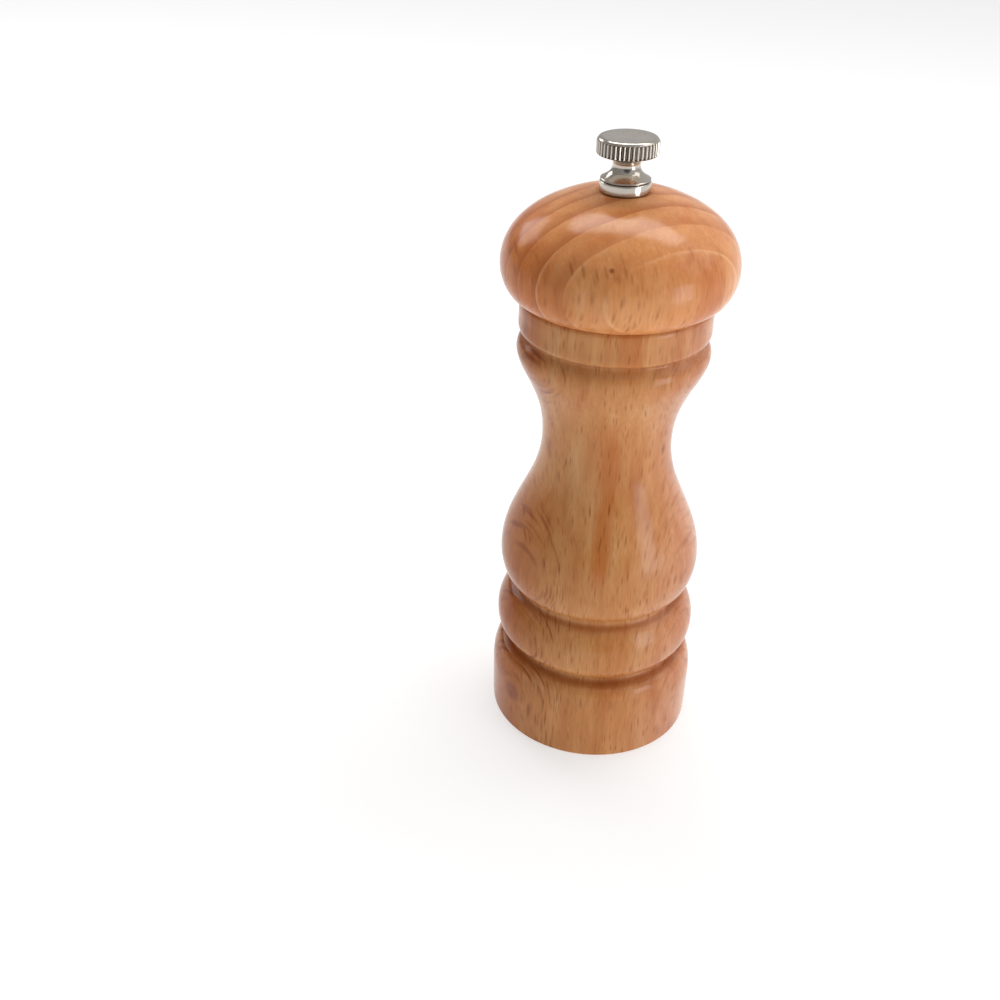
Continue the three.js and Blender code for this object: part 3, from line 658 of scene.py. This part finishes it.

# spring: closed coils at both ends
SPRING_LOW, SPRING_HIGH, TURNS, DEAD, CLOSE = 18.0, 28.35, 4.5, 0.9, 1.15
OPEN = (SPRING_HIGH - SPRING_LOW - 2 * DEAD * CLOSE) / (TURNS - 2 * DEAD)
path = []
for k in range(325):
    t = k / 324 * TURNS
    path.append((4.15 * math.cos(t * 2 * math.pi), 4.15 * math.sin(t * 2 * math.pi),
                 SPRING_LOW + CLOSE * min(t, DEAD) + OPEN * min(max(t - DEAD, 0), TURNS - 2 * DEAD) + CLOSE * max(t - (TURNS - DEAD), 0)))
spring = sweep("spring_coil", path, 0.49, 14, (mat_spring,))
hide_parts("spring")
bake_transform(spring)

# ------------------------------------------------------------------ floor and light
floor_mat = Nodes("floor")
floor_mat.bsdf.inputs["Base Color"].default_value = (0.5, 0.5, 0.5, 1)
floor_mat.bsdf.inputs["Roughness"].default_value = 0.8
floor_mat.bsdf.inputs["Specular IOR Level"].default_value = 0.15
floor_mat.bsdf.inputs["Emission Color"].default_value = (1, 1, 1, 1)
floor_mat.bsdf.inputs["Emission Strength"].default_value = 0.56
mesh = bpy.data.meshes.new("floor")
mesh.from_pydata([(-4, -4, 0), (4, -4, 0), (4, 4, 0), (-4, 4, 0)], [], [(0, 1, 2, 3)])
mesh.materials.append(floor_mat.mat)
floor = bpy.data.objects.new("floor", mesh)
scene.collection.objects.link(floor)
floor.location.z = -0.00005


def area(name, where, aim, size, power, colour=(1, 1, 1)):
    data = bpy.data.lights.new(name, "AREA")
    data.shape = "RECTANGLE"
    data.size, data.size_y = size
    data.energy = power
    data.color = colour
    ob = bpy.data.objects.new(name, data)
    scene.collection.objects.link(ob)
    ob.location = where
    ob.rotation_euler = (Vector(aim) - Vector(where)).to_track_quat("-Z", "Y").to_euler()
    return ob


area("strip_behind", (0.13, 0.38, 1.02), (0, 0, 0.12), (1.05, 0.30), 6.5)
area("window_right", (0.315, -0.246, 0.105), (0, 0, 0.085), (0.14, 0.20), 0.42)
area("window_left_behind", (-0.80, 0.98, 0.72), (0, 0, 0.13), (0.6, 0.5), 2.6)
area("wall_right", (0.95, -0.05, 0.85), (0, 0, 0.1), (0.8, 0.7), 2.0)

world = bpy.data.worlds.new("world")
world.use_nodes = True
wt = world.node_tree
wt.nodes.clear()
w_out = wt.nodes.new("ShaderNodeOutputWorld")
w_bg = wt.nodes.new("ShaderNodeBackground")
w_dir = wt.nodes.new("ShaderNodeTexCoord")
w_xyz = wt.nodes.new("ShaderNodeSeparateXYZ")
wt.links.new(w_dir.outputs["Generated"], w_xyz.inputs[0])
wt.links.new(w_bg.outputs[0], w_out.inputs[0])


def w_range(value, low, high, a, b):
    n = wt.nodes.new("ShaderNodeMapRange")
    n.interpolation_type = "SMOOTHSTEP"
    wt.links.new(value, n.inputs["Value"])
    for key, v in zip(("From Min", "From Max", "To Min", "To Max"), (low, high, a, b)):
        n.inputs[key].default_value = v
    return n.outputs[0]


# a studio that is brighter on the right, and dark where the people stand in front
w_side = w_range(w_xyz.outputs[0], -0.9, 0.7, 0.32, 0.60)
w_dot = wt.nodes.new("ShaderNodeVectorMath")
w_dot.operation = "DOT_PRODUCT"
wt.links.new(w_dir.outputs["Generated"], w_dot.inputs[0])
w_dot.inputs[1].default_value = (0.0, -0.985, 0.174)
w_front = w_range(w_dot.outputs["Value"], 0.82, 0.97, 1.0, 0.22)
w_mul = wt.nodes.new("ShaderNodeMath")
w_mul.operation = "MULTIPLY"
wt.links.new(w_side, w_mul.inputs[0])
wt.links.new(w_front, w_mul.inputs[1])
wt.links.new(w_mul.outputs[0], w_bg.inputs["Strength"])
w_bg.inputs["Color"].default_value = (1, 1, 1, 1)
scene.world = world
scene.view_settings.view_transform = "Standard"
scene.view_settings.look = "None"
